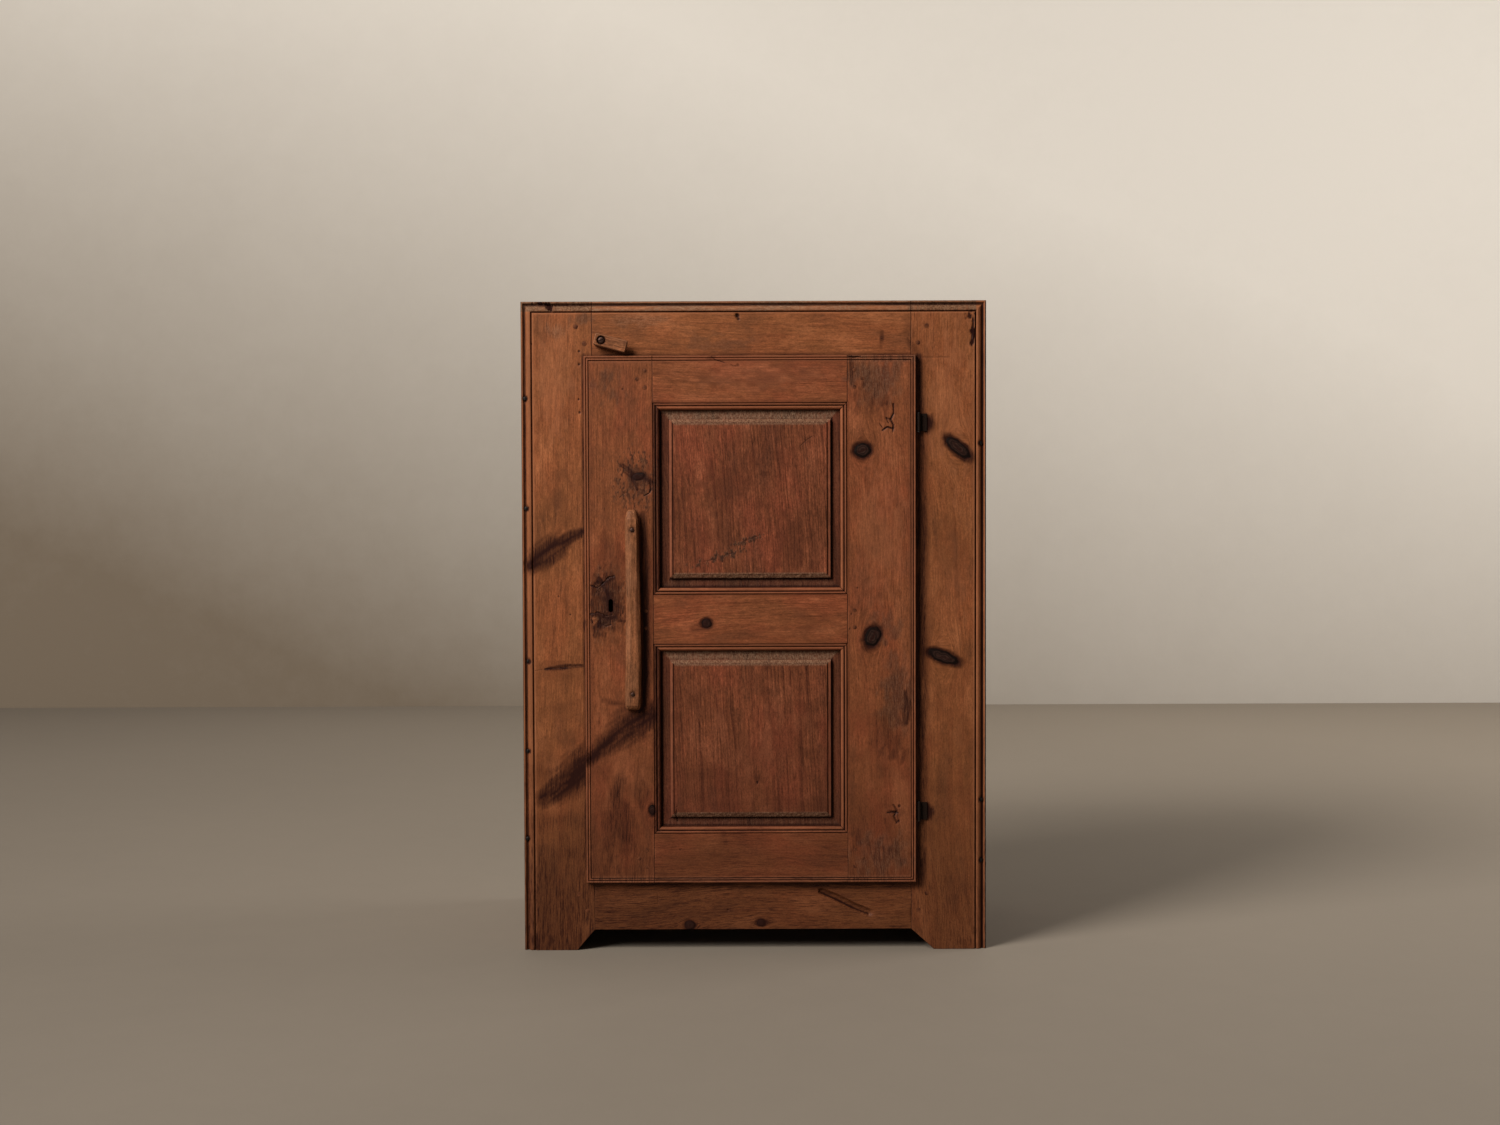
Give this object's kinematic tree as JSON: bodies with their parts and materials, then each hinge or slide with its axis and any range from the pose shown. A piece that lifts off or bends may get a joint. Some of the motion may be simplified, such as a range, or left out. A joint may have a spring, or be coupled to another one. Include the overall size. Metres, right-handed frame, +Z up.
{
  "type": "jelly cupboard",
  "caption": "Free-standing aged pine cupboard: face frame with moulded edges, lipped raised-panel door with wooden bar handle, iron hinges, turn button, shelves inside.",
  "frame": {"origin": "on the floor under the middle of the overall box", "axes": "+X to the right seen from the front, +Y into the cupboard so that the door faces -Y, +Z up"},
  "size_m": [0.714, 0.406, 1],
  "materials": {
    "frame": "old waxed pine, satin",
    "door": "old waxed pine, satin",
    "panel": "old waxed pine, redder, satin",
    "carcase": "bare aged pine, dull",
    "handle": "whittled lighter wood, worn smooth",
    "peg": "dark end grain",
    "iron": "worn dark iron"
  },
  "bodies": {
    "case": {"frame_stile_left": "frame", "frame_stile_right": "frame", "frame_rail_top": "frame", "frame_rail_bottom": "frame", "frame_peg_top_left_1": "peg", "frame_peg_top_left_2": "peg", "frame_peg_top_right_1": "peg", "frame_peg_top_right_2": "peg", "frame_peg_bottom_left_1": "peg", "frame_peg_bottom_left_2": "peg", "frame_peg_bottom_right_1": "peg", "frame_peg_bottom_right_2": "peg", "side_board_left": "carcase", "side_board_right": "carcase", "top_board_front": "carcase", "top_board_back": "carcase", "case_floor": "carcase", "shelf_lower": "carcase", "shelf_upper": "carcase", "back_board_1": "carcase", "back_board_2": "carcase", "back_board_3": "carcase", "back_board_4": "carcase", "hinge_leaf_frame_upper": "iron", "hinge_pin_upper": "iron", "hinge_leaf_frame_lower": "iron", "hinge_pin_lower": "iron", "turn_button_screw": "iron"},
    "door": {"door_stile_lock": "door", "door_stile_hinge": "door", "door_rail_top": "door", "door_rail_middle": "door", "door_rail_bottom": "door", "door_peg_top_lock_1": "peg", "door_peg_top_lock_2": "peg", "door_peg_top_lock_3": "peg", "door_peg_top_hinge_1": "peg", "door_peg_top_hinge_2": "peg", "door_peg_top_hinge_3": "peg", "door_peg_middle_lock_1": "peg", "door_peg_middle_lock_2": "peg", "door_peg_middle_hinge_1": "peg", "door_peg_middle_hinge_2": "peg", "door_peg_bottom_lock_1": "peg", "door_peg_bottom_lock_2": "peg", "door_peg_bottom_lock_3": "peg", "door_peg_bottom_hinge_1": "peg", "door_peg_bottom_hinge_2": "peg", "door_peg_bottom_hinge_3": "peg", "door_panel_upper": "panel", "door_panel_lower": "panel", "door_handle": "handle", "handle_nail_lower": "iron", "handle_nail_upper": "iron", "hinge_leaf_door_upper": "iron", "hinge_leaf_door_lower": "iron"},
    "button": {"turn_button": "frame"}
  },
  "joints": [
    {"name": "door_hinge", "type": "hinge", "parent": "case", "child": "door", "pos_m": [0.2526, -0.1807, 0.511], "axis": [0, 0, 1], "range_deg": [0, 135]},
    {"name": "button_turn", "type": "hinge", "parent": "case", "child": "button", "pos_m": [-0.232, -0.185, 0.939], "axis": [0, 1, 0], "continuous": true}
  ]
}
